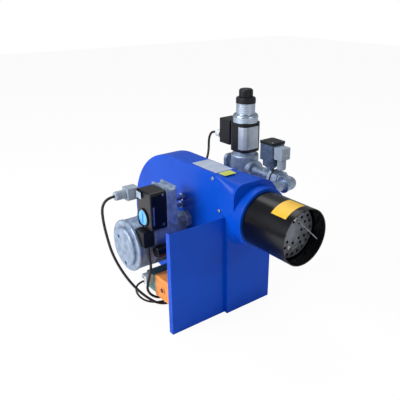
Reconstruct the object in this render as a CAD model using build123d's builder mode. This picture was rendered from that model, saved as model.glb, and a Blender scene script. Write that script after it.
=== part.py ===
from build123d import *
import math
import os

# Packaged gas burner, in millimetres.
# Frame: the origin lies on the blast tube's axis, in the front face of the neck ring.
# The blast tube points along -Y, +Z is up, and the motor stands on the -X side.

os.makedirs("parts", exist_ok=True)

# ---------------------------------------------------------------- driving sizes
SHEET = 1.5                 # sheet thickness of the casing
FIT = 0.05                  # radial running clearance of shafts
GAP = 0.6                   # gap between pieces that move past each other

CASING_LEFT = -68.5         # outer face of the motor side
CASING_RIGHT = 68.5         # outer face of the gas side
CASING_TOP = 95.0
FLOOR = -252.0
FRONT_WALL = 46.0           # Y of the flat front wall
DUCT_BACK = 116.0           # Y of the duct's back wall
VOLUTE_WIDTH = 61.5

NOSE_BACK = 90.0            # the square duct turns into the nose from here
NOSE_FRONT = 26.0
NOSE_TOP = 85.0
NOSE_STRAIGHT = 34.0        # the front profile runs straight to here, then the nose tapers
NOSE_LOW = -76.0
NOSE_ROUND = 62.0
NOSE_LEFT_ROUND = 30.0

FAN_Y = 261.0
FAN_Z = -105.0
VOLUTE_Y = 268.0            # centre of the volute's rear arch
VOLUTE_R = 197.0
VOLUTE_LOW_R = 150.0

TUBE_R = 65.0
TUBE_WALL = 2.5
TUBE_FRONT = -126.0
TUBE_BACK = 32.0
TUBE_SEAT_R = 63.8          # crimped rear end, inside the ring
RING_R = 72.5
RING_FRONT = 0.5
TUBE_FIT = 0.15

MOTOR_R = 65.0
MOTOR_END = -218.0
SHAFT_R = 7.0
HUB_HOLE_R = 47.0           # motor spigot hole in the casing
INLET_HOLE_R = 79.0         # opening through which the fan wheel is fitted
WHEEL_R = 76.0

GAS_X = 128.0               # vertical plane of the gas train
GAS_Z = 43.0                # height of the gas line's axis
OUTLET_Y = 49.0             # axis of the nipple into the casing
VALVE_Y = 216.0             # axis of the solenoid valve
PIPE_R = 13.0
PIPE_BORE = 9.0
LANCE_START = 18.0          # the lance meets the outlet nipple here, inside the nose


def box_at(x0, x1, y0, y1, z0, z1, mode=Mode.ADD):
    """A box between two corners, inside the part that is being built."""
    with Locations(((x0 + x1) / 2, (y0 + y1) / 2, (z0 + z1) / 2)):
        Box(x1 - x0, y1 - y0, z1 - z0, mode=mode)


def rod_x(x0, x1, y, z, radius, mode=Mode.ADD):
    """A cylinder along X from x0 to x1."""
    with Locations(((x0 + x1) / 2, y, z)):
        Cylinder(radius, abs(x1 - x0), rotation=(0, 90, 0), mode=mode)


def rod_y(y0, y1, x, z, radius, mode=Mode.ADD):
    """A cylinder along Y from y0 to y1."""
    with Locations((x, (y0 + y1) / 2, z)):
        Cylinder(radius, abs(y1 - y0), rotation=(90, 0, 0), mode=mode)


def rod_z(z0, z1, x, y, radius, mode=Mode.ADD):
    """A cylinder along Z from z0 to z1."""
    with Locations((x, y, (z0 + z1) / 2)):
        Cylinder(radius, abs(z1 - z0), mode=mode)


# ---------------------------------------------------------------- fan casing
def casing_volume(inset):
    """The casing's volume, shrunk by inset: volute, duct, lower box and nose."""
    left = CASING_LEFT + inset
    right = CASING_RIGHT - inset
    low = FLOOR + inset
    top = CASING_TOP - inset
    low_centre_y = VOLUTE_Y + VOLUTE_R - VOLUTE_LOW_R
    centre_z = CASING_TOP - VOLUTE_R
    with BuildPart() as volume:
        with BuildSketch(Plane.YZ.offset(left)):
            with BuildLine():
                Line((NOSE_BACK, top), (VOLUTE_Y, top))
                CenterArc((VOLUTE_Y, centre_z), VOLUTE_R - inset, 90, -90)
                CenterArc((low_centre_y, centre_z), VOLUTE_LOW_R - inset, 0, -90)
                Line((low_centre_y, centre_z - VOLUTE_LOW_R + inset), (NOSE_BACK, low))
                Line((NOSE_BACK, low), (NOSE_BACK, top))
            make_face()
        extrude(amount=VOLUTE_WIDTH - 2 * inset)
        box_at(left, right, FRONT_WALL + inset, DUCT_BACK - inset, low, -inset)
        nose_low = NOSE_LOW + inset
        back_round = 4 - inset
        side_round = NOSE_ROUND - inset
        sections = (
            (NOSE_BACK, left + VOLUTE_WIDTH - 2 * inset, top, back_round, back_round),
            (NOSE_STRAIGHT, right, NOSE_TOP - inset, NOSE_LEFT_ROUND - inset, side_round),
            (NOSE_FRONT + inset, right, NOSE_TOP - inset, NOSE_LEFT_ROUND - inset, side_round),
        )
        for section_y, side, crest, first, round_r in sections:
            with BuildSketch(Plane.XZ.offset(-section_y)):
                with BuildLine():
                    Line((left + round_r, nose_low), (side - round_r, nose_low))
                    CenterArc((side - round_r, nose_low + round_r), round_r, 270, 90)
                    Line((side, nose_low + round_r), (side, crest - round_r))
                    CenterArc((side - round_r, crest - round_r), round_r, 0, 90)
                    Line((side - round_r, crest), (left + first, crest))
                    CenterArc((left + first, crest - first), first, 90, 90)
                    Line((left, crest - first), (left, nose_low + round_r))
                    CenterArc((left + round_r, nose_low + round_r), round_r, 180, 90)
                make_face()
        loft(ruled=True)
    return volume.part


HOLE_GAP = 0.4
INLET_WALL = CASING_LEFT + VOLUTE_WIDTH
with BuildPart() as fan_casing:
    add(casing_volume(0))
    add(casing_volume(SHEET), mode=Mode.SUBTRACT)
    rod_y(NOSE_FRONT - 5, NOSE_FRONT + 5, 0, 0, TUBE_SEAT_R + TUBE_FIT, mode=Mode.SUBTRACT)
    rod_x(CASING_LEFT - 5, CASING_LEFT + 5, FAN_Y, FAN_Z, HUB_HOLE_R, mode=Mode.SUBTRACT)
    rod_x(INLET_WALL - 5, INLET_WALL + 5, FAN_Y, FAN_Z, INLET_HOLE_R, mode=Mode.SUBTRACT)
    rod_x(LANCE_START, CASING_RIGHT + 5, OUTLET_Y, GAS_Z, PIPE_R + HOLE_GAP, mode=Mode.SUBTRACT)
fan_casing.part.label = "fan_casing"
export_step(fan_casing.part, "parts/fan_casing.step")

# Neck ring: turned collar welded to the nose, it carries the blast tube.
RING_BEAD = 2.5
with BuildPart() as neck_ring:
    rod_y(RING_FRONT, NOSE_FRONT, 0, 0, RING_R)
    front_edges = neck_ring.edges().filter_by(GeomType.CIRCLE).group_by(Axis.Y)[0]
    fillet(front_edges.sort_by(SortBy.RADIUS)[-1], RING_BEAD)
    rod_y(RING_FRONT - 1, NOSE_FRONT + 1, 0, 0, TUBE_SEAT_R + TUBE_FIT, mode=Mode.SUBTRACT)
neck_ring.part.label = "neck_ring"
export_step(neck_ring.part, "parts/neck_ring.step")

# Wing plate: folded sheet beside the front wall, screwed to the casing's motor side.
WING_FRONT = 56.0
WING_LEFT = -220.0
WING_TOP = 3.0
WING_RETURN = 14.0
WING_TAB = 30.0
WING_SCREW_R = 4.5
WING_SCREWS = ((62.0, -4.0), (76.0, -110.0), (76.0, -232.0))
CASING_SCREWS = ((76.0, 12.0), (100.0, 84.0))
with BuildPart() as wing_plate:
    box_at(WING_LEFT, CASING_LEFT, WING_FRONT, WING_FRONT + SHEET, FLOOR, WING_TOP)
    box_at(WING_LEFT, WING_LEFT + SHEET, WING_FRONT, WING_FRONT + WING_RETURN, FLOOR, WING_TOP)
    box_at(CASING_LEFT - SHEET, CASING_LEFT, WING_FRONT, WING_FRONT + WING_TAB, FLOOR, WING_TOP)
wing_plate.part.label = "wing_plate"
export_step(wing_plate.part, "parts/wing_plate.step")

# Screws on the casing's motor side: through the wing plate's tab, and into the casing alone.
SCREW_HEAD = 3.0
with BuildPart() as casing_screws:
    for screw_y, screw_z in WING_SCREWS:
        rod_x(CASING_LEFT - SHEET - SCREW_HEAD, CASING_LEFT - SHEET, screw_y, screw_z, WING_SCREW_R)
    for screw_y, screw_z in CASING_SCREWS:
        rod_x(CASING_LEFT - SCREW_HEAD, CASING_LEFT, screw_y, screw_z, WING_SCREW_R)
    fillet(casing_screws.edges().filter_by(GeomType.CIRCLE), 1.2)
    for screw_y, screw_z in WING_SCREWS:
        box_at(CASING_LEFT - SHEET - SCREW_HEAD - 1, CASING_LEFT - SHEET - 1.6, screw_y - 3, screw_y + 3,
               screw_z - 0.6, screw_z + 0.6, mode=Mode.SUBTRACT)
casing_screws.part.label = "casing_screws"
export_step(casing_screws.part, "parts/casing_screws.step")

# ---------------------------------------------------------------- air intake
AIR_BOX_BACK = 362.0
AIR_BOX_TOP = -8.0
INTAKE_TOP = -196.0         # upper edge of the intake passage
INTAKE_FRONT = AIR_BOX_BACK - 77.0   # the baffle over the intake passage starts here
DAMPER_Y = AIR_BOX_BACK - 39.0
DAMPER_Z = (FLOOR + SHEET + INTAKE_TOP) / 2
DAMPER_SHAFT_R = 4.0
with BuildPart() as air_box:
    box_at(INLET_WALL, CASING_RIGHT, DUCT_BACK, AIR_BOX_BACK, FLOOR, AIR_BOX_TOP)
    box_at(INLET_WALL - 1, CASING_RIGHT - SHEET, DUCT_BACK - 1, AIR_BOX_BACK - SHEET,
           FLOOR + SHEET, AIR_BOX_TOP - SHEET, mode=Mode.SUBTRACT)
    box_at(INLET_WALL, CASING_RIGHT - SHEET, INTAKE_FRONT, AIR_BOX_BACK - SHEET,
           INTAKE_TOP, INTAKE_TOP + SHEET)
    box_at(INLET_WALL - 1, CASING_RIGHT - SHEET, AIR_BOX_BACK - 5, AIR_BOX_BACK + 1,
           FLOOR + SHEET, INTAKE_TOP, mode=Mode.SUBTRACT)
    rod_x(CASING_RIGHT - 5, CASING_RIGHT + 5, DAMPER_Y, DAMPER_Z, DAMPER_SHAFT_R + FIT, mode=Mode.SUBTRACT)
air_box.part.label = "air_box"
export_step(air_box.part, "parts/air_box.step")

# Intake grille: punched sheet on the rear of the intake passage.
GRILLE_THICK = 1.2
GRILLE_LAP = 6.0
GRILLE_SLOT = 7.0
GRILLE_SLOTS = 4
grille_low = FLOOR + 1
grille_high = INTAKE_TOP + GRILLE_LAP
with BuildPart() as intake_grille:
    box_at(INLET_WALL + GAP, CASING_RIGHT, AIR_BOX_BACK, AIR_BOX_BACK + GRILLE_THICK, grille_low, grille_high)
    grille_middle = (INLET_WALL + CASING_RIGHT) / 2
    slot_pitch = (INTAKE_TOP - FLOOR - 4 * GRILLE_LAP) / (GRILLE_SLOTS - 1)
    with BuildSketch(Plane.XZ.offset(-AIR_BOX_BACK)):
        with Locations((grille_middle, (FLOOR + INTAKE_TOP) / 2)):
            with GridLocations(0, slot_pitch, 1, GRILLE_SLOTS):
                SlotOverall(CASING_RIGHT - INLET_WALL - 4 * GRILLE_LAP, GRILLE_SLOT)
    extrude(amount=-GRILLE_THICK, mode=Mode.SUBTRACT)
intake_grille.part.label = "intake_grille"
export_step(intake_grille.part, "parts/intake_grille.step")

# Air damper: flap, and the lever with its welded shaft, turn together.
FLAP_THICK = 2.0
FLAP_BARREL_R = 6.5
FLAP_HALF = DAMPER_Z - FLOOR - SHEET - 1.0
flap_left = INLET_WALL + 2
flap_right = CASING_RIGHT - SHEET - 2
with BuildPart() as damper_flap:
    box_at(flap_left, flap_right, DAMPER_Y - FLAP_THICK / 2, DAMPER_Y + FLAP_THICK / 2,
           DAMPER_Z - FLAP_HALF, DAMPER_Z + FLAP_HALF)
    rod_x(flap_left, flap_right, DAMPER_Y, DAMPER_Z, FLAP_BARREL_R)
    rod_x(flap_left - 1, flap_right + 1, DAMPER_Y, DAMPER_Z, DAMPER_SHAFT_R, mode=Mode.SUBTRACT)
damper_flap.part.label = "damper_flap"
export_step(damper_flap.part, "parts/damper_flap.step")

LEVER_THICK = 3.0
LEVER_LENGTH = 34.0
LEVER_R = 8.0
lever_inside = CASING_RIGHT + GAP
shaft_outside = lever_inside + LEVER_THICK + 3
with BuildPart() as damper_lever:
    with BuildSketch(Plane.YZ.offset(lever_inside)):
        with Locations((DAMPER_Y, DAMPER_Z + LEVER_LENGTH / 2)):
            SlotOverall(LEVER_LENGTH + 2 * LEVER_R, 2 * LEVER_R, rotation=90)
    extrude(amount=LEVER_THICK)
    rod_x(lever_inside, lever_inside + 12, DAMPER_Y, DAMPER_Z + LEVER_LENGTH, 5)
    rod_x(flap_left, shaft_outside, DAMPER_Y, DAMPER_Z, DAMPER_SHAFT_R)
damper_lever.part.label = "damper_lever"
export_step(damper_lever.part, "parts/damper_lever.step")

# Inlet ring: spun plate with a bell mouth in front of the fan wheel.
INLET_R = 54.0
INLET_PLATE_R = 86.0
BELL_R = 7.0
with BuildPart() as inlet_ring:
    with BuildSketch(Plane.XY):
        with BuildLine():
            Polyline((INLET_R, -BELL_R), (INLET_R + SHEET, -BELL_R), (INLET_R + SHEET, 0),
                     (INLET_PLATE_R, 0), (INLET_PLATE_R, SHEET), (INLET_R, SHEET), close=True)
        make_face()
    revolve(axis=Axis.Y)
    inner_edge = inlet_ring.edges().filter_by(GeomType.CIRCLE).group_by(Axis.Y)[-1]
    fillet(inner_edge.sort_by(SortBy.RADIUS)[0], SHEET * 0.8)
inlet_ring_place = Plane(origin=(INLET_WALL, FAN_Y, FAN_Z), x_dir=(0, 0, 1), z_dir=(0, 1, 0))
inlet_ring_part = inlet_ring_place.location * inlet_ring.part
inlet_ring_part.label = "inlet_ring"
export_step(inlet_ring_part, "parts/inlet_ring.step")

# ---------------------------------------------------------------- combustion head
with BuildPart() as blast_tube:
    rod_y(TUBE_FRONT, 0, 0, 0, TUBE_R)
    rod_y(0, TUBE_BACK, 0, 0, TUBE_SEAT_R)
    rod_y(TUBE_FRONT - 1, TUBE_BACK + 1, 0, 0, TUBE_R - TUBE_WALL, mode=Mode.SUBTRACT)
blast_tube.part.label = "blast_tube"
export_step(blast_tube.part, "parts/blast_tube.step")

# Gas lance: pipe from the outlet nipple to the middle of the head.
LANCE_R = 11.0
LANCE_BORE = 8.5
LANCE_FRONT = -74.0


def lance_volume(radius, extra):
    """The lance's bent run as a solid of the given radius."""
    with BuildPart() as volume:
        rod_x(0, LANCE_START + extra, OUTLET_Y, GAS_Z, radius)
        rod_z(0, GAS_Z, 0, OUTLET_Y, radius)
        rod_y(LANCE_FRONT - extra, OUTLET_Y, 0, 0, radius)
        with Locations((0, OUTLET_Y, GAS_Z), (0, OUTLET_Y, 0)):
            Sphere(radius)
    return volume.part


with BuildPart() as gas_lance:
    add(lance_volume(LANCE_R, 0))
    add(lance_volume(LANCE_BORE, 1), mode=Mode.SUBTRACT)
gas_lance.part.label = "gas_lance"
export_step(gas_lance.part, "parts/gas_lance.step")

# Gas head: closed cup on the lance behind the diffuser, with gas holes round its side.
DIFFUSER_Y = -93.0
DIFFUSER_THICK = 1.5
HEAD_R = 17.0
HEAD_FRONT = DIFFUSER_Y + DIFFUSER_THICK
HEAD_WALL = 2.5
HEAD_HOLES = 8
with BuildPart() as gas_head:
    rod_y(HEAD_FRONT, LANCE_FRONT, 0, 0, HEAD_R)
    rod_y(HEAD_FRONT + HEAD_WALL, LANCE_FRONT - HEAD_WALL, 0, 0, HEAD_R - HEAD_WALL, mode=Mode.SUBTRACT)
    rod_y(LANCE_FRONT - HEAD_WALL - 1, LANCE_FRONT + 1, 0, 0, LANCE_BORE, mode=Mode.SUBTRACT)
    for hole in range(HEAD_HOLES // 2):
        with Locations(Location((0, (HEAD_FRONT + LANCE_FRONT) / 2, 0), (0, hole * 360 / HEAD_HOLES, 0))):
            Cylinder(2, 2 * HEAD_R + 2, mode=Mode.SUBTRACT)
gas_head.part.label = "gas_head"
export_step(gas_head.part, "parts/gas_head.step")

# Diffuser: pressed disc with a rim, and round air holes in staggered rings.
DIFFUSER_R = 58.5
DIFFUSER_RIM = 9.0
DIFFUSER_HOLE_R = 3.7
DIFFUSER_RINGS = ((25.0, 8), (38.0, 14), (51.0, 20))
ELECTRODE_PLACES = ((-14.0, -31.5), (0.8, 31.5))
CERAMIC_R = 4.5
with BuildPart() as diffuser:
    rod_y(DIFFUSER_Y, DIFFUSER_Y + DIFFUSER_RIM, 0, 0, DIFFUSER_R)
    rod_y(DIFFUSER_Y + DIFFUSER_THICK, DIFFUSER_Y + DIFFUSER_RIM + 1, 0, 0,
          DIFFUSER_R - DIFFUSER_THICK, mode=Mode.SUBTRACT)
    with BuildSketch(Plane.XZ.offset(-DIFFUSER_Y)):
        for place in ELECTRODE_PLACES:
            with Locations(place):
                Circle(CERAMIC_R)
        for ring_radius, count in DIFFUSER_RINGS:
            with PolarLocations(ring_radius, count):
                Circle(DIFFUSER_HOLE_R)
    extrude(amount=-DIFFUSER_THICK, mode=Mode.SUBTRACT)
diffuser.part.label = "diffuser"
export_step(diffuser.part, "parts/diffuser.step")

# Electrodes: ceramic bodies through the diffuser, each with a bent wire.
CERAMIC_FRONT = -97.0
CERAMIC_BACK = -45.0
WIRE_R = 1.3
with BuildPart() as electrode_ceramics:
    for place in ELECTRODE_PLACES:
        rod_y(CERAMIC_FRONT, CERAMIC_BACK, place[0], place[1], CERAMIC_R)
    rim_edges = electrode_ceramics.edges().filter_by(GeomType.CIRCLE).group_by(Axis.Y)[0]
    chamfer(rim_edges, 1.5)
    for place in ELECTRODE_PLACES:
        rod_y(CERAMIC_FRONT - 1, CERAMIC_BACK + 1, place[0], place[1], WIRE_R, mode=Mode.SUBTRACT)
electrode_ceramics.part.label = "electrode_ceramics"
export_step(electrode_ceramics.part, "parts/electrode_ceramics.step")

WIRE_BACK = -39.0
WIRE_BEND = -103.0
WIRE_TIPS = ((-2.0, -108.0, -24.0), (46.0, TUBE_FRONT + 6.0, -18.0))
with BuildPart() as electrode_wires:
    for place, tip in zip(ELECTRODE_PLACES, WIRE_TIPS):
        with BuildLine() as wire_path:
            FilletPolyline((place[0], WIRE_BACK, place[1]), (place[0], WIRE_BEND, place[1]), tip, radius=3)
        with BuildSketch(Plane(origin=(place[0], WIRE_BACK, place[1]), z_dir=(0, -1, 0))):
            Circle(WIRE_R)
        sweep(path=wire_path.line)
electrode_wires.part.label = "electrode_wires"
export_step(electrode_wires.part, "parts/electrode_wires.step")

# ---------------------------------------------------------------- fan and motor
FLANGE_THICK = 11.0
FLANGE_R = 66.0
EAR_R = 20.0
EAR_REACH = 77.0            # distance of the ear bolts from the motor's axis
EAR_BOLT_R = 5.0
flange_out = CASING_LEFT - FLANGE_THICK
SHIELD_END = -172.0         # free end of the drive-side housing
SHELL_END = -211.0
CAP_DOME = 8.0
CAP_DOME_R = 50.0
MOTOR_WALL = 3.0
BEARING_R = 17.5
BEARING_WIDTH = 11.0

with BuildPart() as motor_flange:
    with BuildSketch(Plane.YZ.offset(flange_out)):
        with Locations((FAN_Y, FAN_Z)):
            Circle(FLANGE_R)
            with PolarLocations(EAR_REACH - EAR_R, 4, start_angle=45):
                SlotCenterToCenter(2 * EAR_R, 2 * EAR_R)
    extrude(amount=FLANGE_THICK)
    rod_x(CASING_LEFT - 1, CASING_LEFT + 6, FAN_Y, FAN_Z, HUB_HOLE_R - 0.2)
    rod_x(flange_out - 1, CASING_LEFT + 7, FAN_Y, FAN_Z, SHAFT_R + GAP, mode=Mode.SUBTRACT)
    rod_x(flange_out - 1, flange_out + BEARING_WIDTH, FAN_Y, FAN_Z, BEARING_R, mode=Mode.SUBTRACT)
    with BuildSketch(Plane.YZ.offset(flange_out)):
        with Locations((FAN_Y, FAN_Z)):
            with PolarLocations(EAR_REACH, 4, start_angle=45):
                Circle(EAR_BOLT_R)
    extrude(amount=FLANGE_THICK, mode=Mode.SUBTRACT)
motor_flange.part.label = "motor_flange"
export_step(motor_flange.part, "parts/motor_flange.step")

# Ear bolts: hexagon heads on washers, one in each ear.
BOLT_HEAD_R = 8.5
BOLT_HEAD = 6.5
WASHER_R = 11.5
WASHER = 2.0
with BuildPart() as flange_bolts:
    with BuildSketch(Plane.YZ.offset(flange_out)):
        with Locations((FAN_Y, FAN_Z)):
            with PolarLocations(EAR_REACH, 4, start_angle=45):
                Circle(WASHER_R)
    extrude(amount=-WASHER)
    with BuildSketch(Plane.YZ.offset(flange_out - WASHER)):
        with Locations((FAN_Y, FAN_Z)):
            with PolarLocations(EAR_REACH, 4, start_angle=45):
                RegularPolygon(BOLT_HEAD_R, 6)
    extrude(amount=-BOLT_HEAD)
    with BuildSketch(Plane.YZ.offset(flange_out)):
        with Locations((FAN_Y, FAN_Z)):
            with PolarLocations(EAR_REACH, 4, start_angle=45):
                Circle(EAR_BOLT_R - 0.2)
    extrude(amount=FLANGE_THICK)
flange_bolts.part.label = "flange_bolts"
export_step(flange_bolts.part, "parts/flange_bolts.step")

# Drive-side housing: cast shell with rounded shoulders, and a saddle for the capacitor.
HOUSING_ROUND = 9.0
CAPACITOR_R = 14.0
CAPACITOR_LEFT = -182.0
CAPACITOR_RIGHT = -112.0
CAPACITOR_PLACE = (181.0, -102.0)
SADDLE_WIDTH = 16.0
saddle_x = (CAPACITOR_LEFT + CAPACITOR_RIGHT) / 2
with BuildPart() as motor_housing:
    rod_x(SHIELD_END, flange_out, FAN_Y, FAN_Z, MOTOR_R)
    fillet(motor_housing.edges().filter_by(GeomType.CIRCLE).group_by(Axis.X)[0], HOUSING_ROUND)
    box_at(saddle_x - SADDLE_WIDTH / 2, saddle_x + SADDLE_WIDTH / 2, CAPACITOR_PLACE[0], FAN_Y - MOTOR_R + 14,
           CAPACITOR_PLACE[1] - 9, CAPACITOR_PLACE[1] + 9)
    rod_x(saddle_x - SADDLE_WIDTH, saddle_x + SADDLE_WIDTH, *CAPACITOR_PLACE, CAPACITOR_R + 1, mode=Mode.SUBTRACT)
    rod_x(SHIELD_END - 1, flange_out + 1, FAN_Y, FAN_Z, MOTOR_R - HOUSING_ROUND - 1, mode=Mode.SUBTRACT)
motor_housing.part.label = "motor_housing"
export_step(motor_housing.part, "parts/motor_housing.step")

# Middle shell: finned tube between the housing and the end cap.
SHELL_R = 62.0
FIN_HEIGHT = 2.0
FIN_COUNT = 5
with BuildPart() as motor_shell:
    rod_x(SHELL_END, SHIELD_END, FAN_Y, FAN_Z, SHELL_R)
    fin_pitch = (SHIELD_END - SHELL_END) / FIN_COUNT
    for fin in range(FIN_COUNT):
        fin_x = SHELL_END + (fin + 0.5) * fin_pitch
        rod_x(fin_x - 1.2, fin_x + 1.2, FAN_Y, FAN_Z, SHELL_R + FIN_HEIGHT)
    rod_x(SHELL_END - 1, SHIELD_END + 1, FAN_Y, FAN_Z, MOTOR_R - HOUSING_ROUND - 1, mode=Mode.SUBTRACT)
motor_shell.part.label = "motor_shell"
export_step(motor_shell.part, "parts/motor_shell.step")

# End cap: domed casting with a bearing seat and two round vents.
CAP_RIM_R = 66.0
CAP_VENT_R = 5.0
CAP_VENTS = ((21.0, 21.0), (-8.0, -42.0))
DOME_END = MOTOR_END - CAP_DOME
with BuildPart() as motor_end_cap:
    rod_x(MOTOR_END, SHELL_END, FAN_Y, FAN_Z, CAP_RIM_R)
    fillet(motor_end_cap.edges().filter_by(GeomType.CIRCLE).group_by(Axis.X)[0], 4)
    rod_x(DOME_END, MOTOR_END, FAN_Y, FAN_Z, CAP_DOME_R)
    fillet(motor_end_cap.edges().filter_by(GeomType.CIRCLE).group_by(Axis.X)[0], 5)
    rod_x(MOTOR_END + 3, SHELL_END + 1, FAN_Y, FAN_Z, MOTOR_R - HOUSING_ROUND - 1, mode=Mode.SUBTRACT)
    rod_x(MOTOR_END - 3, SHELL_END, FAN_Y, FAN_Z, BEARING_R + 4)
    rod_x(SHELL_END - BEARING_WIDTH, SHELL_END + 1, FAN_Y, FAN_Z, BEARING_R, mode=Mode.SUBTRACT)
    with BuildSketch(Plane.YZ.offset(DOME_END - 1)):
        for vent in CAP_VENTS:
            with Locations((FAN_Y + vent[0], FAN_Z + vent[1])):
                Circle(CAP_VENT_R)
    extrude(amount=CAP_DOME + 3, mode=Mode.SUBTRACT)
motor_end_cap.part.label = "motor_end_cap"
export_step(motor_end_cap.part, "parts/motor_end_cap.step")

bearing_rear_x = SHELL_END - BEARING_WIDTH
with BuildPart() as motor_bearings:
    for bearing_x in (bearing_rear_x, flange_out):
        rod_x(bearing_x, bearing_x + BEARING_WIDTH, FAN_Y, FAN_Z, BEARING_R)
        rod_x(bearing_x - 1, bearing_x + BEARING_WIDTH + 1, FAN_Y, FAN_Z, SHAFT_R + FIT, mode=Mode.SUBTRACT)
motor_bearings.part.label = "motor_bearings"
export_step(motor_bearings.part, "parts/motor_bearings.step")

# Stator and rotor: laminated packs with a running gap between them.
PACK_LEFT = -166.0
PACK_RIGHT = -106.0
ROTOR_R = 32.0
with BuildPart() as stator:
    rod_x(PACK_LEFT, PACK_RIGHT, FAN_Y, FAN_Z, MOTOR_R - HOUSING_ROUND - 1)
    rod_x(PACK_LEFT - 1, PACK_RIGHT + 1, FAN_Y, FAN_Z, ROTOR_R + GAP, mode=Mode.SUBTRACT)
stator.part.label = "stator"
export_step(stator.part, "parts/stator.step")

with BuildPart() as rotor:
    rod_x(PACK_LEFT, PACK_RIGHT, FAN_Y, FAN_Z, ROTOR_R)
    rod_x(PACK_LEFT - 1, PACK_RIGHT + 1, FAN_Y, FAN_Z, SHAFT_R, mode=Mode.SUBTRACT)
rotor.part.label = "rotor"
export_step(rotor.part, "parts/rotor.step")

WHEEL_BACK = CASING_LEFT + 12.0     # face of the wheel's back plate
WHEEL_FRONT = INLET_WALL - 6.0
shaft_tip = WHEEL_BACK + 20
with BuildPart() as motor_shaft:
    rod_x(bearing_rear_x, shaft_tip, FAN_Y, FAN_Z, SHAFT_R)
motor_shaft.part.label = "motor_shaft"
export_step(motor_shaft.part, "parts/motor_shaft.step")

# Fan wheel: back plate with hub, front ring and forward-curved blades.
BLADE_COUNT = 32
BLADE_THICK = 1.2
BLADE_INNER_R = 58.0
BLADE_CURVE_R = 14.0
PLATE_THICK = 2.0
HUB_R = 15.0
blade_arc = RadiusArc((BLADE_INNER_R, 0), (WHEEL_R - 1.5, 7), BLADE_CURVE_R)
with BuildPart() as fan_wheel:
    rod_x(WHEEL_BACK, WHEEL_BACK + PLATE_THICK, FAN_Y, FAN_Z, WHEEL_R)
    rod_x(WHEEL_BACK, shaft_tip, FAN_Y, FAN_Z, HUB_R)
    rod_x(WHEEL_BACK - 1, shaft_tip + 1, FAN_Y, FAN_Z, SHAFT_R, mode=Mode.SUBTRACT)
    with BuildSketch(Plane.YZ.offset(WHEEL_FRONT - PLATE_THICK)):
        with Locations((FAN_Y, FAN_Z)):
            Circle(WHEEL_R)
            Circle(BLADE_INNER_R, mode=Mode.SUBTRACT)
    extrude(amount=PLATE_THICK)
    with BuildSketch(Plane.YZ.offset(WHEEL_BACK + PLATE_THICK)):
        with Locations((FAN_Y, FAN_Z)):
            with PolarLocations(0, BLADE_COUNT):
                SlotArc(blade_arc, BLADE_THICK)
    extrude(amount=WHEEL_FRONT - WHEEL_BACK - 2 * PLATE_THICK)
fan_wheel.part.label = "fan_wheel"
export_step(fan_wheel.part, "parts/fan_wheel.step")

# Terminal box and capacitor on the motor's front side.
TERMINAL = (-209.0, -180.0, 186.0, 222.0, -86.0, -46.0)
with BuildPart() as motor_terminal_box:
    box_at(*TERMINAL)
    fillet(motor_terminal_box.edges().filter_by(Axis.Y), 4)
    rod_x(TERMINAL[0] - 1, TERMINAL[1] + 1, FAN_Y, FAN_Z, SHELL_R + FIN_HEIGHT, mode=Mode.SUBTRACT)
motor_terminal_box.part.label = "motor_terminal_box"
export_step(motor_terminal_box.part, "parts/motor_terminal_box.step")

with BuildPart() as motor_capacitor:
    rod_x(CAPACITOR_LEFT, CAPACITOR_RIGHT, *CAPACITOR_PLACE, CAPACITOR_R)
    fillet(motor_capacitor.edges().filter_by(GeomType.CIRCLE), 2)
    rod_x(CAPACITOR_LEFT + 12, CAPACITOR_RIGHT - 12, *CAPACITOR_PLACE, CAPACITOR_R + 1)
    rod_x(CAPACITOR_RIGHT - 1, CAPACITOR_RIGHT + 6, *CAPACITOR_PLACE, 4)
motor_capacitor.part.label = "motor_capacitor"
export_step(motor_capacitor.part, "parts/motor_capacitor.step")

# ---------------------------------------------------------------- plugs with cable glands
PLUG_SIDE = 30.0
PLUG_THICK = 28.0
PLUG_ROUND = 2.5
GLAND_R = 11.0
GLAND_RIBS = 4


def plug_volume(place, gland_length):
    """A square plug and its ribbed gland. Local z leaves the socket, local x is the cable's way out."""
    with BuildPart(place) as volume:
        with Locations((0, 0, PLUG_THICK / 2)):
            Box(PLUG_SIDE, PLUG_SIDE, PLUG_THICK)
        fillet(volume.edges().group_by(SortBy.LENGTH)[-1], PLUG_ROUND)
        gland_start = PLUG_SIDE / 2
        with Locations((gland_start + gland_length / 2, 0, PLUG_THICK / 2)):
            Cylinder(GLAND_R - 1, gland_length, rotation=(0, 90, 0))
        rib_pitch = gland_length / (GLAND_RIBS + 0.5)
        for rib in range(GLAND_RIBS):
            with Locations((gland_start + (rib + 0.75) * rib_pitch, 0, PLUG_THICK / 2)):
                Cylinder(GLAND_R, rib_pitch * 0.6, rotation=(0, 90, 0))
    return volume.part


# ---------------------------------------------------------------- air pressure switch
SWITCH_RIGHT = -122.0
SWITCH_SPLIT = -150.0
SWITCH_LEFT = -194.0
SWITCH_FRONT = 172.0
SWITCH_BACK = 234.0
SWITCH_LOW = -43.0
SWITCH_TOP = 52.0
with BuildPart() as air_switch_base:
    box_at(SWITCH_SPLIT, SWITCH_RIGHT, SWITCH_FRONT, SWITCH_BACK, SWITCH_LOW + 4, SWITCH_TOP)
    fillet(air_switch_base.edges().filter_by(Axis.X), 5)
    box_at(SWITCH_SPLIT, SWITCH_SPLIT + 5, SWITCH_FRONT - 2, SWITCH_BACK + 2, SWITCH_LOW, SWITCH_TOP + 4)
    box_at(SWITCH_RIGHT - 4, SWITCH_RIGHT, SWITCH_FRONT - 1, SWITCH_BACK + 1, SWITCH_LOW + 2, SWITCH_TOP + 5)
air_switch_base.part.label = "air_switch_base"
export_step(air_switch_base.part, "parts/air_switch_base.step")

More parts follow.
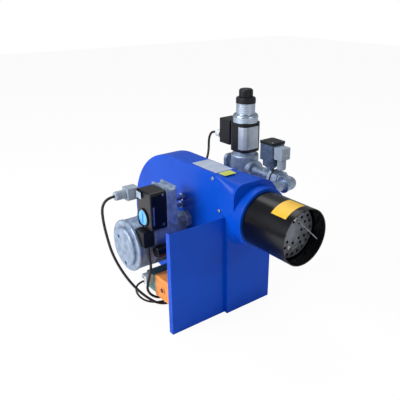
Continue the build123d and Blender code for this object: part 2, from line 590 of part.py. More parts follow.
DIAL_Y = 208.0
DIAL_Z = -16.0
DIAL_R = 19.0
DIAL_RING_R = 23.0
DIAL_RECESS = 5.0
DIAL_PIN_R = 4.0
with BuildPart() as air_switch_cover:
    box_at(SWITCH_LEFT, SWITCH_SPLIT, SWITCH_FRONT, SWITCH_BACK, SWITCH_LOW, SWITCH_TOP)
    fillet(air_switch_cover.edges().filter_by(Axis.X), 7)
    fillet(air_switch_cover.faces().sort_by(Axis.X)[0].edges(), 3)
    rod_x(SWITCH_LEFT - 3, SWITCH_LEFT + 8, DIAL_Y, DIAL_Z, DIAL_RING_R)
    rod_x(SWITCH_LEFT - 4, SWITCH_LEFT + DIAL_RECESS, DIAL_Y, DIAL_Z, DIAL_R + GAP, mode=Mode.SUBTRACT)
    rod_x(SWITCH_LEFT - 4, SWITCH_LEFT + 14, DIAL_Y, DIAL_Z, DIAL_PIN_R + FIT, mode=Mode.SUBTRACT)
air_switch_cover.part.label = "air_switch_cover"
export_step(air_switch_cover.part, "parts/air_switch_cover.step")

with BuildPart() as air_switch_dial:
    rod_x(SWITCH_LEFT - 2, SWITCH_LEFT + DIAL_RECESS - GAP, DIAL_Y, DIAL_Z, DIAL_R)
    chamfer(air_switch_dial.edges().group_by(Axis.X)[0], 1)
    box_at(SWITCH_LEFT - 4, SWITCH_LEFT, DIAL_Y - 1.5, DIAL_Y + 1.5, DIAL_Z - 13, DIAL_Z + 13)
    rod_x(SWITCH_LEFT, SWITCH_LEFT + 13, DIAL_Y, DIAL_Z, DIAL_PIN_R)
air_switch_dial.part.label = "air_switch_dial"
export_step(air_switch_dial.part, "parts/air_switch_dial.step")

# Pressure nipples: two threaded tubes into the casing's side carry the switch.
NIPPLES = ((220.0, 4.0, 7.0), (224.0, -18.0, 6.0))
NIPPLE_BORE = 3.0
with BuildPart() as air_switch_nipples:
    for nipple_y, nipple_z, nipple_r in NIPPLES:
        rod_x(SWITCH_RIGHT, CASING_LEFT, nipple_y, nipple_z, nipple_r)
        with BuildSketch(Plane.YZ.offset(CASING_LEFT - 8)):
            with Locations((nipple_y, nipple_z)):
                RegularPolygon(nipple_r + 3, 6)
        extrude(amount=8)
    for nipple_y, nipple_z, nipple_r in NIPPLES:
        rod_x(SWITCH_RIGHT - 1, CASING_LEFT + 1, nipple_y, nipple_z, NIPPLE_BORE, mode=Mode.SUBTRACT)
air_switch_nipples.part.label = "air_switch_nipples"
export_step(air_switch_nipples.part, "parts/air_switch_nipples.step")

AIR_GLAND = 27.0
AIR_PLUG_X = -202.0
AIR_PLUG_Z = 37.0
air_plug_part = plug_volume(Plane(origin=(AIR_PLUG_X, SWITCH_BACK, AIR_PLUG_Z), x_dir=(-1, 0, 0), z_dir=(0, 1, 0)),
                            AIR_GLAND)
air_plug_part.label = "air_switch_plug"
export_step(air_plug_part, "parts/air_switch_plug.step")

# ---------------------------------------------------------------- ignition and control
TRANSFORMER = (-172.0, CASING_LEFT, 201.0, 246.0, -230.0, -182.0)
TERMINAL_R = 6.0
with BuildPart() as ignition_transformer:
    box_at(*TRANSFORMER)
    fillet(ignition_transformer.edges().filter_by(Axis.X), 4)
    transformer_mid_z = (TRANSFORMER[4] + TRANSFORMER[5]) / 2
    for step in range(4):
        groove_x = TRANSFORMER[0] + 18 + step * 18
        box_at(groove_x, groove_x + 4, TRANSFORMER[2], TRANSFORMER[2] + 2, TRANSFORMER[4] + 6,
               TRANSFORMER[5] - 6, mode=Mode.SUBTRACT)
ignition_transformer.part.label = "ignition_transformer"
export_step(ignition_transformer.part, "parts/ignition_transformer.step")

CONNECTOR = (-192.0, TRANSFORMER[0], 216.0, 240.0, -208.0, -184.0)
with BuildPart() as supply_connector:
    box_at(*CONNECTOR)
    fillet(supply_connector.edges().filter_by(Axis.X), 3)
    box_at(CONNECTOR[0], CONNECTOR[0] + 6, CONNECTOR[2] + 4, CONNECTOR[3] - 4, CONNECTOR[4] + 14,
           CONNECTOR[5] - 3, mode=Mode.SUBTRACT)
supply_connector.part.label = "supply_connector"
export_step(supply_connector.part, "parts/supply_connector.step")

CONTROL = (-180.0, -98.0, 124.0, 194.0, -228.0, -168.0)
CONTROL_SEAM = 13.0
BUTTON_Y = 158.0
BUTTON_Z = -198.0
BUTTON_R = 6.0
BUTTON_STROKE = 3.0
BUTTON_BORE_END = CONTROL[0] + 16
with BuildPart() as control_base:
    box_at(CONTROL[1], CASING_LEFT, CONTROL[2] + 2, CONTROL[3] - 2, CONTROL[4] + 2, CONTROL[5] - 14)
    fillet(control_base.edges().filter_by(Axis.X), 3)
control_base.part.label = "control_base"
export_step(control_base.part, "parts/control_base.step")

with BuildPart() as control_box:
    box_at(*CONTROL)
    fillet(control_box.edges().filter_by(Axis.X), 4)
    fillet(control_box.faces().sort_by(Axis.X)[0].edges(), 2)
    seam_z = CONTROL[5] - CONTROL_SEAM
    box_at(CONTROL[0], CONTROL[0] + 1, CONTROL[2] + 3, CONTROL[3] - 3, seam_z - 1, seam_z + 1, mode=Mode.SUBTRACT)
    rod_x(CONTROL[0] - 3, BUTTON_BORE_END, BUTTON_Y, BUTTON_Z, BUTTON_R + 3)
    rod_x(CONTROL[0] - 4, BUTTON_BORE_END, BUTTON_Y, BUTTON_Z, BUTTON_R + 0.3, mode=Mode.SUBTRACT)
control_box.part.label = "control_box"
export_step(control_box.part, "parts/control_box.step")

BUTTON_PROUD = 1.0
with BuildPart() as reset_button:
    rod_x(CONTROL[0] - 3 - BUTTON_PROUD, BUTTON_BORE_END - BUTTON_STROKE - 2, BUTTON_Y, BUTTON_Z, BUTTON_R)
    fillet(reset_button.edges().group_by(Axis.X)[0], 1)
reset_button.part.label = "reset_button"
export_step(reset_button.part, "parts/reset_button.step")

# ---------------------------------------------------------------- gas train
ELBOW_R = 17.0            # outside radius of the elbow's sockets
BEAD_R = 20.0
BEAD = 5.0
NIPPLE_IN = 14.0            # length of a nipple hidden in its socket
NIPPLE_END_X = GAS_X - ELBOW_R - 6
with BuildPart() as outlet_nipple:
    rod_x(LANCE_START, NIPPLE_END_X + NIPPLE_IN, OUTLET_Y, GAS_Z, PIPE_R)
    rod_x(LANCE_START - 1, NIPPLE_END_X + NIPPLE_IN + 1, OUTLET_Y, GAS_Z, PIPE_BORE, mode=Mode.SUBTRACT)
outlet_nipple.part.label = "outlet_nipple"
export_step(outlet_nipple.part, "parts/outlet_nipple.step")

# Elbow: malleable casting, one socket towards the casing and one towards the valve.
ELBOW_BACK = OUTLET_Y + ELBOW_R + 8
with BuildPart() as elbow:
    with Locations((GAS_X, OUTLET_Y, GAS_Z)):
        Sphere(ELBOW_R)
    rod_x(NIPPLE_END_X, GAS_X, OUTLET_Y, GAS_Z, ELBOW_R)
    rod_x(NIPPLE_END_X, NIPPLE_END_X + BEAD, OUTLET_Y, GAS_Z, BEAD_R)
    rod_y(OUTLET_Y, ELBOW_BACK, GAS_X, GAS_Z, ELBOW_R)
    rod_y(ELBOW_BACK - BEAD, ELBOW_BACK, GAS_X, GAS_Z, BEAD_R)
    rod_x(NIPPLE_END_X - 1, NIPPLE_END_X + NIPPLE_IN, OUTLET_Y, GAS_Z, PIPE_R, mode=Mode.SUBTRACT)
    rod_x(NIPPLE_END_X - 1, GAS_X, OUTLET_Y, GAS_Z, PIPE_BORE, mode=Mode.SUBTRACT)
    rod_y(OUTLET_Y, ELBOW_BACK + 1, GAS_X, GAS_Z, PIPE_BORE, mode=Mode.SUBTRACT)
    with Locations((GAS_X, OUTLET_Y, GAS_Z)):
        Sphere(PIPE_BORE, mode=Mode.SUBTRACT)
elbow.part.label = "elbow"
export_step(elbow.part, "parts/elbow.step")

# Union: nut over the elbow's joint, with its seal ring on the valve side.
UNION_R = 24.0
UNION_LENGTH = 20.0
SEAL_LENGTH = 3.0
UNION_BACK = ELBOW_BACK + UNION_LENGTH
with BuildPart() as union_nut:
    with BuildSketch(Plane.XZ.offset(-ELBOW_BACK)):
        with Locations((GAS_X, GAS_Z)):
            RegularPolygon(UNION_R, 8)
    extrude(amount=-UNION_LENGTH)
    with BuildPart(mode=Mode.PRIVATE) as union_round:
        rod_y(ELBOW_BACK, UNION_BACK, GAS_X, GAS_Z, UNION_R)
        chamfer(union_round.edges().filter_by(GeomType.CIRCLE), 2)
    add(union_round.part, mode=Mode.INTERSECT)
    rod_y(ELBOW_BACK - 1, UNION_BACK + 1, GAS_X, GAS_Z, PIPE_BORE, mode=Mode.SUBTRACT)
union_nut.part.label = "union_nut"
export_step(union_nut.part, "parts/union_nut.step")

with BuildPart() as union_seal:
    rod_y(UNION_BACK, UNION_BACK + SEAL_LENGTH, GAS_X, GAS_Z, UNION_R)
    fillet(union_seal.edges().filter_by(GeomType.CIRCLE), 1)
    rod_y(UNION_BACK - 1, UNION_BACK + SEAL_LENGTH + 1, GAS_X, GAS_Z, PIPE_BORE, mode=Mode.SUBTRACT)
union_seal.part.label = "union_seal"
export_step(union_seal.part, "parts/union_seal.step")

# Valve-side nipple, with the saddle of the gas pressure switch on top.
VALVE_NIPPLE_R = 16.0
BODY_FRONT = VALVE_Y - 44.0
BODY_BACK = VALVE_Y + 44.0
GAS_SWITCH = (108.0, 152.0, 92.0, 138.0, 74.0, 136.0)
SADDLE_R = 9.0
with BuildPart() as valve_nipple:
    rod_y(UNION_BACK + SEAL_LENGTH, BODY_FRONT, GAS_X, GAS_Z, VALVE_NIPPLE_R)
    with BuildSketch(Plane.XZ.offset(-UNION_BACK - SEAL_LENGTH)):
        with Locations((GAS_X, GAS_Z)):
            RegularPolygon(VALVE_NIPPLE_R + 5, 6)
    extrude(amount=-12)
    saddle_y = (GAS_SWITCH[2] + GAS_SWITCH[3]) / 2
    rod_z(GAS_Z, GAS_SWITCH[4], GAS_X, saddle_y, SADDLE_R)
    rod_z(GAS_SWITCH[4] - 6, GAS_SWITCH[4], GAS_X, saddle_y, SADDLE_R + 5)
    rod_y(UNION_BACK, BODY_FRONT + 1, GAS_X, GAS_Z, PIPE_BORE, mode=Mode.SUBTRACT)
    rod_z(GAS_Z, GAS_SWITCH[4] + 1, GAS_X, saddle_y, 3, mode=Mode.SUBTRACT)
valve_nipple.part.label = "valve_nipple"
export_step(valve_nipple.part, "parts/valve_nipple.step")

# Solenoid valve body: die-cast chamber with a seat, and a flange at each end.
BODY_R = 37.0
BODY_LOW = 12.0
BODY_TOP = 88.0
BODY_FLANGE = 72.0
BODY_FLANGE_THICK = 10.0
CHAMBER_R = 27.0
SEAT_Z = 48.0
SEAT_THICK = 4.0
SEAT_R = 13.0
INLET_R_THREAD = 15.1
INLET_LENGTH = 16.0
PORT_R = 8.0                # passages between the connections and the two chambers
PORT_LOW_Z = 32.0
with BuildPart() as valve_body:
    rod_z(BODY_LOW, BODY_TOP - 6, GAS_X, VALVE_Y, BODY_R)
    fillet(valve_body.edges().filter_by(GeomType.CIRCLE), 6)
    rod_y(BODY_FRONT, BODY_BACK, GAS_X, GAS_Z, 26)
    with BuildSketch(Plane.XZ.offset(-BODY_BACK)):
        with Locations((GAS_X, GAS_Z)):
            RectangleRounded(BODY_FLANGE, BODY_FLANGE * 0.86, 12)
    extrude(amount=BODY_FLANGE_THICK)
    rod_z(BODY_TOP - 12, BODY_TOP, GAS_X, VALVE_Y, 31)
    rod_z(BODY_LOW + 6, SEAT_Z - SEAT_THICK, GAS_X, VALVE_Y, CHAMBER_R, mode=Mode.SUBTRACT)
    rod_z(SEAT_Z, BODY_TOP - 6, GAS_X, VALVE_Y, CHAMBER_R, mode=Mode.SUBTRACT)
    rod_z(SEAT_Z - SEAT_THICK - 1, SEAT_Z + 1, GAS_X, VALVE_Y, SEAT_R, mode=Mode.SUBTRACT)
    rod_z(BODY_TOP - 7, BODY_TOP + 1, GAS_X, VALVE_Y, SEAT_R + 3, mode=Mode.SUBTRACT)
    rod_y(BODY_BACK - INLET_LENGTH, BODY_BACK + 1, GAS_X, GAS_Z, INLET_R_THREAD, mode=Mode.SUBTRACT)
    rod_y(VALVE_Y + 20, BODY_BACK - INLET_LENGTH + 1, GAS_X, PORT_LOW_Z, PORT_R, mode=Mode.SUBTRACT)
    rod_y(BODY_FRONT - 1, BODY_FRONT + 10, GAS_X, GAS_Z, PIPE_BORE, mode=Mode.SUBTRACT)
    box_at(GAS_X - PORT_R, GAS_X + PORT_R, BODY_FRONT + 4, VALVE_Y - 20, SEAT_Z + 2, SEAT_Z + 14,
           mode=Mode.SUBTRACT)
valve_body.part.label = "valve_body"
export_step(valve_body.part, "parts/valve_body.step")

# Coil: encapsulated winding, a rounded square block round the core tube.
COIL_SIDE = 62.0
COIL_LOW = BODY_TOP + 2
COIL_TOP = 166.0
CORE_R = 16.0
with BuildPart() as valve_coil:
    with BuildSketch(Plane.XY.offset(COIL_LOW)):
        with Locations((GAS_X, VALVE_Y)):
            RectangleRounded(COIL_SIDE, COIL_SIDE, 16)
            Circle(CORE_R, mode=Mode.SUBTRACT)
    extrude(amount=COIL_TOP - COIL_LOW)
valve_coil.part.label = "valve_coil"
export_step(valve_coil.part, "parts/valve_coil.step")

# Core tube: closed tube through the coil, seated on the valve body.
CORE_TOP = 206.0
CORE_WALL = 1.5
with BuildPart() as core_tube:
    rod_z(BODY_TOP, CORE_TOP, GAS_X, VALVE_Y, CORE_R)
    rod_z(BODY_TOP, COIL_LOW, GAS_X, VALVE_Y, 29)
    rod_z(BODY_TOP - 1, CORE_TOP - 4, GAS_X, VALVE_Y, CORE_R - CORE_WALL, mode=Mode.SUBTRACT)
core_tube.part.label = "core_tube"
export_step(core_tube.part, "parts/core_tube.step")

# Damper housing: turned cylinder with a domed flange on the coil.
DAMPER_HOUSING_R = 24.5
DOME_R = 33.0
DOME_TOP = 187.0
HOUSING_TOP = 214.0
with BuildPart() as damper_housing:
    rod_z(COIL_TOP, HOUSING_TOP, GAS_X, VALVE_Y, DAMPER_HOUSING_R)
    with BuildSketch(Plane.XY.offset(COIL_TOP)):
        with Locations((GAS_X, VALVE_Y)):
            Circle(DOME_R)
    extrude(amount=DOME_TOP - COIL_TOP)
    dome_edges = damper_housing.edges().filter_by(GeomType.CIRCLE).group_by(Axis.Z)[1]
    fillet(dome_edges.sort_by(SortBy.RADIUS)[-1], 7)
    rod_z(COIL_TOP - 1, CORE_TOP, GAS_X, VALVE_Y, CORE_R, mode=Mode.SUBTRACT)
damper_housing.part.label = "damper_housing"
export_step(damper_housing.part, "parts/damper_housing.step")

# Cap ring and the flow knob that turns in it.
CAP_RING_R = 25.5
CAP_RING_TOP = 229.0
KNOB_R = 18.0
KNOB_TOP = 250.0
KNOB_PIN_R = 5.0
KNOB_FLUTES = 12
with BuildPart() as cap_ring:
    rod_z(HOUSING_TOP, CAP_RING_TOP, GAS_X, VALVE_Y, CAP_RING_R)
    fillet(cap_ring.edges().filter_by(GeomType.CIRCLE).group_by(Axis.Z)[-1], 4)
    rod_z(HOUSING_TOP + 3, CAP_RING_TOP + 1, GAS_X, VALVE_Y, KNOB_PIN_R + FIT, mode=Mode.SUBTRACT)
cap_ring.part.label = "cap_ring"
export_step(cap_ring.part, "parts/cap_ring.step")

with BuildPart() as flow_knob:
    rod_z(CAP_RING_TOP + GAP, KNOB_TOP, GAS_X, VALVE_Y, KNOB_R)
    fillet(flow_knob.edges().filter_by(GeomType.CIRCLE).group_by(Axis.Z)[-1], 6)
    with BuildSketch(Plane.XY.offset(CAP_RING_TOP + GAP)):
        with Locations((GAS_X, VALVE_Y)):
            with PolarLocations(KNOB_R + 1.5, KNOB_FLUTES):
                Circle(2.6)
    extrude(amount=KNOB_TOP - CAP_RING_TOP - 8, mode=Mode.SUBTRACT)
    rod_z(HOUSING_TOP + 4, CAP_RING_TOP + 2, GAS_X, VALVE_Y, KNOB_PIN_R)
flow_knob.part.label = "flow_knob"
export_step(flow_knob.part, "parts/flow_knob.step")

# Plunger with its seal disc, which closes the seat, and the closing spring above it.
PLUNGER_R = 13.5
SEAL_DISC_R = 18.0
SEAL_DISC = 5.0
PLUNGER_TOP = 150.0
SPRING_R = 8.0
SPRING_WIRE = 1.2
with BuildPart() as valve_plunger:
    rod_z(SEAT_Z + 0.1, SEAT_Z + SEAL_DISC, GAS_X, VALVE_Y, SEAL_DISC_R)
    rod_z(SEAT_Z + SEAL_DISC, PLUNGER_TOP, GAS_X, VALVE_Y, 7)
    rod_z(BODY_TOP + 8, PLUNGER_TOP, GAS_X, VALVE_Y, PLUNGER_R)
valve_plunger.part.label = "valve_plunger"
export_step(valve_plunger.part, "parts/valve_plunger.step")

SPRING_TURNS = 6
with BuildPart() as valve_spring:
    spring_base = PLUNGER_TOP + SPRING_WIRE + 0.05
    spring_height = CORE_TOP - 4 - SPRING_WIRE - 0.05 - spring_base
    with BuildLine() as coil_line:
        Helix(spring_height / SPRING_TURNS, spring_height, SPRING_R, center=(GAS_X, VALVE_Y, spring_base))
    with BuildSketch(Plane(origin=coil_line.line @ 0, z_dir=coil_line.line % 0)):
        Circle(SPRING_WIRE)
    sweep(path=coil_line.line)
valve_spring.part.label = "valve_spring"
export_step(valve_spring.part, "parts/valve_spring.step")

# Coil's terminal box behind it, with a pale gland on its rear face.
COIL_BOX = (101.0, 146.0, VALVE_Y + COIL_SIDE / 2, VALVE_Y + COIL_SIDE / 2 + 44.0, 100.0, 166.0)
with BuildPart() as coil_terminal_box:
    box_at(*COIL_BOX)
    fillet(coil_terminal_box.edges().filter_by(Axis.Z), 3)
    fillet(coil_terminal_box.faces().sort_by(Axis.Z)[-1].edges(), 2)
coil_terminal_box.part.label = "coil_terminal_box"
export_step(coil_terminal_box.part, "parts/coil_terminal_box.step")

COIL_GLAND = (110.0, 120.0)     # X and Z of the gland's axis
COIL_GLAND_LENGTH = 20.0
with BuildPart() as coil_gland:
    with BuildSketch(Plane.XZ.offset(-COIL_BOX[3])):
        with Locations(COIL_GLAND):
            RegularPolygon(12, 6)
    extrude(amount=-6)
    rod_y(COIL_BOX[3], COIL_BOX[3] + COIL_GLAND_LENGTH, *COIL_GLAND, 9.5)
    fillet(coil_gland.edges().filter_by(GeomType.CIRCLE).group_by(Axis.Y)[-1], 3)
coil_gland.part.label = "coil_gland"
export_step(coil_gland.part, "parts/coil_gland.step")

# Gas pressure switch on the nipple: body, dark cover plate and plug.
GAS_SWITCH_LID = 6.0
with BuildPart() as gas_switch_body:
    box_at(GAS_SWITCH[0], GAS_SWITCH[1], GAS_SWITCH[2], GAS_SWITCH[3], GAS_SWITCH[4] + 14, GAS_SWITCH[5] - GAS_SWITCH_LID)
    fillet(gas_switch_body.edges().filter_by(Axis.Z), 5)
    rod_z(GAS_SWITCH[4], GAS_SWITCH[4] + 14, GAS_X, saddle_y, 21)
gas_switch_body.part.label = "gas_switch_body"
export_step(gas_switch_body.part, "parts/gas_switch_body.step")

with BuildPart() as gas_switch_lid:
    box_at(GAS_SWITCH[0] - 1, GAS_SWITCH[1] + 1, GAS_SWITCH[2] - 1, GAS_SWITCH[3] + 1,
           GAS_SWITCH[5] - GAS_SWITCH_LID, GAS_SWITCH[5])
    fillet(gas_switch_lid.edges().filter_by(Axis.Z), 5)
    fillet(gas_switch_lid.faces().sort_by(Axis.Z)[-1].edges(), 2)
gas_switch_lid.part.label = "gas_switch_lid"
export_step(gas_switch_lid.part, "parts/gas_switch_lid.step")

GAS_GLAND = 26.0
GAS_PLUG_Z = 112.0
gas_plug_part = plug_volume(Plane(origin=(GAS_X, GAS_SWITCH[2], GAS_PLUG_Z), x_dir=(0, 0, -1), z_dir=(0, -1, 0)),
                            GAS_GLAND)
gas_plug_part.label = "gas_switch_plug"
export_step(gas_plug_part, "parts/gas_switch_plug.step")

# ---------------------------------------------------------------- cables
CABLE_D = 6.5
LEAD_D = 5.0
GROMMET = 4.0
GROMMET_R = 7.0
WALL_END = CASING_LEFT - GROMMET
air_gland_y = SWITCH_BACK + PLUG_THICK / 2
air_gland_x = AIR_PLUG_X - PLUG_SIDE / 2 - AIR_GLAND
AIR_CABLE = ((air_gland_x, air_gland_y, AIR_PLUG_Z), (air_gland_x - 18, air_gland_y, AIR_PLUG_Z),
             (-278, 249, 20), (-277, 251, -18), (-274, 244, -58), (-270, 233, -98), (-259, 217, -138),
             (-242, 201, -176), (-218, 187, -212), (-184, 166, -243), (-130, 158, -243), (WALL_END, 158, -243))
MOTOR_CABLE = ((-196, 189.5, TERMINAL[4]), (-196, 189.5, -112), (-191, 188, -143), (-196, 196, -178),
               (-202, 200, -214), (-172, 197, -245), (-122, 193, -244), (WALL_END, 193, -244))
CONNECTOR_LEAD = ((CONNECTOR[0], 228, -200), (CONNECTOR[0] - 20, 228, -200), (-226, 213, -213), (-214, 193, -233),
                  (-178, 179, -245), (-125, 176, -244), (WALL_END, 176, -244))
VALVE_CABLE = ((COIL_GLAND[0], COIL_BOX[3] + COIL_GLAND_LENGTH, COIL_GLAND[1]),
               (COIL_GLAND[0], COIL_BOX[3] + COIL_GLAND_LENGTH + 23, COIL_GLAND[1]),
               (107, 346, 98), (104, 342, 62), (86, 332, 34), (50, 322, 30), (50, 322, AIR_BOX_TOP + GROMMET))


def cable_volume(name, points, diameter):
    """A round cable: straight runs between the points, joined by tangent arcs."""
    places = [Vector(*point) for point in points]
    radii = []
    for before, corner, after in zip(places, places[1:], places[2:]):
        run_in = corner - before
        run_out = after - corner
        half_turn = math.radians(run_in.get_angle(run_out)) / 2
        radii.append(0.45 * min(run_in.length, run_out.length) / math.tan(half_turn))
    with BuildPart() as volume:
        with BuildLine() as path:
            FilletPolyline(*points, radius=radii)
        with BuildSketch(Plane(origin=places[0], z_dir=path.line % 0)):
            Circle(diameter / 2)
        sweep(path=path.line)
    length = path.wires()[0].length
    section = math.pi * diameter ** 2 / 4
    print(name, "length", round(length), "radii", [round(radius) for radius in radii],
          "volume ratio", round(volume.part.volume / (section * length), 4))
    volume.part.label = name
    return volume.part


export_step(cable_volume("air_switch_cable", AIR_CABLE, CABLE_D), "parts/air_switch_cable.step")
export_step(cable_volume("motor_cable", MOTOR_CABLE, CABLE_D), "parts/motor_cable.step")
export_step(cable_volume("connector_lead", CONNECTOR_LEAD, LEAD_D), "parts/connector_lead.step")
export_step(cable_volume("valve_cable", VALVE_CABLE, CABLE_D), "parts/valve_cable.step")

# Grommets: rubber bushes on the casing's side and on the air box, where the cables go in.
with BuildPart() as cable_grommets:
    for end in (AIR_CABLE[-1], MOTOR_CABLE[-1], CONNECTOR_LEAD[-1]):
        rod_x(WALL_END, CASING_LEFT, end[1], end[2], GROMMET_R)
    rod_z(AIR_BOX_TOP, AIR_BOX_TOP + GROMMET, VALVE_CABLE[-1][0], VALVE_CABLE[-1][1], GROMMET_R)
    fillet(cable_grommets.edges().filter_by(GeomType.CIRCLE), 1.2)
cable_grommets.part.label = "cable_grommets"
export_step(cable_grommets.part, "parts/cable_grommets.step")
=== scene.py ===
import math

import bpy
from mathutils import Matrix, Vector


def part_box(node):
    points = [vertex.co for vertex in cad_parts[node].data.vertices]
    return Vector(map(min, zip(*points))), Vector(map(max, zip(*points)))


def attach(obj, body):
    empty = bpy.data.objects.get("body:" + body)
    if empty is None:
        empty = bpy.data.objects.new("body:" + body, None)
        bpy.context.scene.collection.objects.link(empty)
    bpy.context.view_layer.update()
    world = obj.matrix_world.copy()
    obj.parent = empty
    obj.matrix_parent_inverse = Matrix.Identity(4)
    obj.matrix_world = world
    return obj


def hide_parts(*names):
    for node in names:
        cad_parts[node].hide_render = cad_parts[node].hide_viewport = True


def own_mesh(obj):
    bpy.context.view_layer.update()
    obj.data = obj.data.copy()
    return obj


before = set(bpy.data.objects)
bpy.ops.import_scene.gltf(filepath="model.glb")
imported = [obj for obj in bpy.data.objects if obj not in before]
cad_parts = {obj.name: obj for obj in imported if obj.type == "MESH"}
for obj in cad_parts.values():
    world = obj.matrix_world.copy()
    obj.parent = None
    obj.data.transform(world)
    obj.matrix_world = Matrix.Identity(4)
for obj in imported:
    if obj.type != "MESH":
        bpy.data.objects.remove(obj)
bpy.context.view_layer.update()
bpy.ops.object.select_all(action="DESELECT")

# ------------------------------------------------------------------ camera
# Eye-level three-quarter view from the motor side, with the blast tube coming forward.
bpy.ops.object.camera_add(location=(-0.7477, -0.7776, 0.4794),
                          rotation=(math.radians(66.9), 0, math.radians(-38.2)))
camera = bpy.context.object
camera.name = "camera"
camera.data.sensor_width = 36
camera.data.lens = 46.46
camera.data.shift_x = -0.0425
camera.data.shift_y = 0.025
bpy.context.scene.camera = camera
bpy.context.scene.view_settings.view_transform = "Standard"

# ------------------------------------------------------------------ cables
# Round PVC-sheathed leads of the two pressure switches, the motor, the connector and the valve.
# The sheath is extruded and matt, with a faint waviness from the twisted cores.


def linear(hex_colour):
    """The linear colour of an sRGB hex value such as 1F2A44."""
    levels = [int(hex_colour[i:i + 2], 16) / 255 for i in (0, 2, 4)]
    return [c / 12.92 if c <= 0.04045 else ((c + 0.055) / 1.055) ** 2.4 for c in levels] + [1.0]


def add_node(material, kind, settings=None, links=None):
    """Adds a node to the material, with its settings and the sockets that feed it."""
    node = material.node_tree.nodes.new(kind)
    for name, value in (settings or {}).items():
        if isinstance(name, int) or name in node.inputs:
            node.inputs[name].default_value = value
        else:
            setattr(node, name, value)
    for name, source in (links or {}).items():
        material.node_tree.links.new(source, node.inputs[name])
    return node


def new_finish(name, metallic, extra=None):
    """An empty material: returns it with its shader and its object coordinates."""
    material = bpy.data.materials.new(name)
    material.use_nodes = True
    shader = material.node_tree.nodes["Principled BSDF"]
    shader.inputs["Metallic"].default_value = metallic
    for socket, value in (extra or {}).items():
        shader.inputs[socket].default_value = value
    place = add_node(material, "ShaderNodeTexCoord").outputs["Object"]
    return material, shader, place


def mottled(name, hexes, patch_mm, rough, grain_mm, grain_depth_mm, metallic=0.0, extra=None):
    """A surface whose colour drifts in soft patches and whose grain is a fine bump."""
    material, shader, place = new_finish(name, metallic, extra)
    patches = add_node(material, "ShaderNodeTexNoise", {"Scale": 1000 / patch_mm, "Detail": 3.0},
                       {"Vector": place})
    ramp = add_node(material, "ShaderNodeValToRGB", {}, {"Fac": patches.outputs["Fac"]})
    ramp.color_ramp.elements[0].position = 0.3
    ramp.color_ramp.elements[1].position = 0.7
    ramp.color_ramp.elements[0].color = linear(hexes[0])
    ramp.color_ramp.elements[1].color = linear(hexes[1])
    gloss = add_node(material, "ShaderNodeMapRange", {"To Min": rough[0], "To Max": rough[1]},
                     {"Value": patches.outputs["Fac"]})
    grain = add_node(material, "ShaderNodeTexNoise", {"Scale": 1000 / grain_mm, "Detail": 2.0},
                     {"Vector": place})
    bump = add_node(material, "ShaderNodeBump", {"Strength": 0.6, "Distance": grain_depth_mm / 1000},
                    {"Height": grain.outputs["Fac"]})
    links = material.node_tree.links
    links.new(ramp.outputs["Color"], shader.inputs["Base Color"])
    links.new(gloss.outputs["Result"], shader.inputs["Roughness"])
    links.new(bump.outputs["Normal"], shader.inputs["Normal"])
    return material


cable_sheath = mottled("extruded_pvc_sheath", ("0B0B0D", "17181B"), 12, (0.42, 0.55), 1.5, 0.05)
cable_facts = {
    "air_switch_cable": (6.5, 0.454, "limp", (
        (-244, 248, 37), (-262, 248, 37), (-278, 249, 20), (-277, 251, -18), (-274, 244, -58),
        (-270, 233, -98), (-259, 217, -138), (-242, 201, -176), (-218, 187, -212), (-184, 166, -243), (-130, 158, -243),
        (-72.5, 158, -243))),
    "motor_cable": (6.5, 0.268, "limp", (
        (-196, 189.5, -86), (-196, 189.5, -112), (-191, 188, -143), (-196, 196, -178), (-202, 200, -214),
        (-172, 197, -245), (-122, 193, -244), (-72.5, 193, -244))),
    "connector_lead": (5.0, 0.216, "limp", (
        (-192, 228, -200), (-212, 228, -200), (-226, 213, -213), (-214, 193, -233), (-178, 179, -245),
        (-125, 176, -244), (-72.5, 176, -244))),
    "valve_cable": (6.5, 0.180, "limp", (
        (110, 311, 120), (110, 334, 120), (107, 346, 98), (104, 342, 62), (86, 332, 34), (50, 322, 30),
        (50, 322, -4))),
}
for cable_name, (cable_width, cable_length, cable_stiffness, route) in cable_facts.items():
    line = bpy.data.curves.new(cable_name + "_sheath", "CURVE")
    line.dimensions = "3D"
    line.bevel_depth = cable_width / 2000
    line.bevel_resolution = 5
    line.resolution_u = 12
    line.use_fill_caps = True
    spline = line.splines.new("NURBS")
    spline.points.add(len(route) - 1)
    for point, place in zip(spline.points, route):
        point.co = (place[0] / 1000, place[1] / 1000, place[2] / 1000, 1)
    spline.order_u = 3
    spline.use_endpoint_u = True
    line.materials.append(cable_sheath)
    cable = bpy.data.objects.new(cable_name + "_sheath", line)
    bpy.context.collection.objects.link(cable)
    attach(cable, "burner")
    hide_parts(cable_name)

# ------------------------------------------------------------------ sheet body
# Welded and folded sheet steel: the fan casing, the neck ring, the wing plate and the air box.
# Powder coated in a strong blue, smooth with a faint orange peel of about two millimetres.


def dress(material, *names):
    """Gives CAD nodes their finish."""
    for name in names:
        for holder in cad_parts[name].material_slots:
            holder.material = material


blue_coat = mottled("powder_coated_blue_sheet", ("0143B4", "034AC0"), 90, (0.32, 0.40), 2.2, 0.012,
                    extra={"Specular IOR Level": 0.14})
dress(blue_coat, "fan_casing", "neck_ring", "wing_plate", "air_box")

# ------------------------------------------------------------------ blast tube
# Rolled steel tube in heat-resistant black enamel, glossy, with slight unevenness from brushing.
# It is clamped in the neck ring, and its front end is open.
black_enamel = mottled("heat_resistant_black_enamel", ("04050A", "090B12"), 60, (0.18, 0.28), 3.0, 0.02,
                       extra={"Specular IOR Level": 0.32})
dress(black_enamel, "blast_tube", "intake_grille")

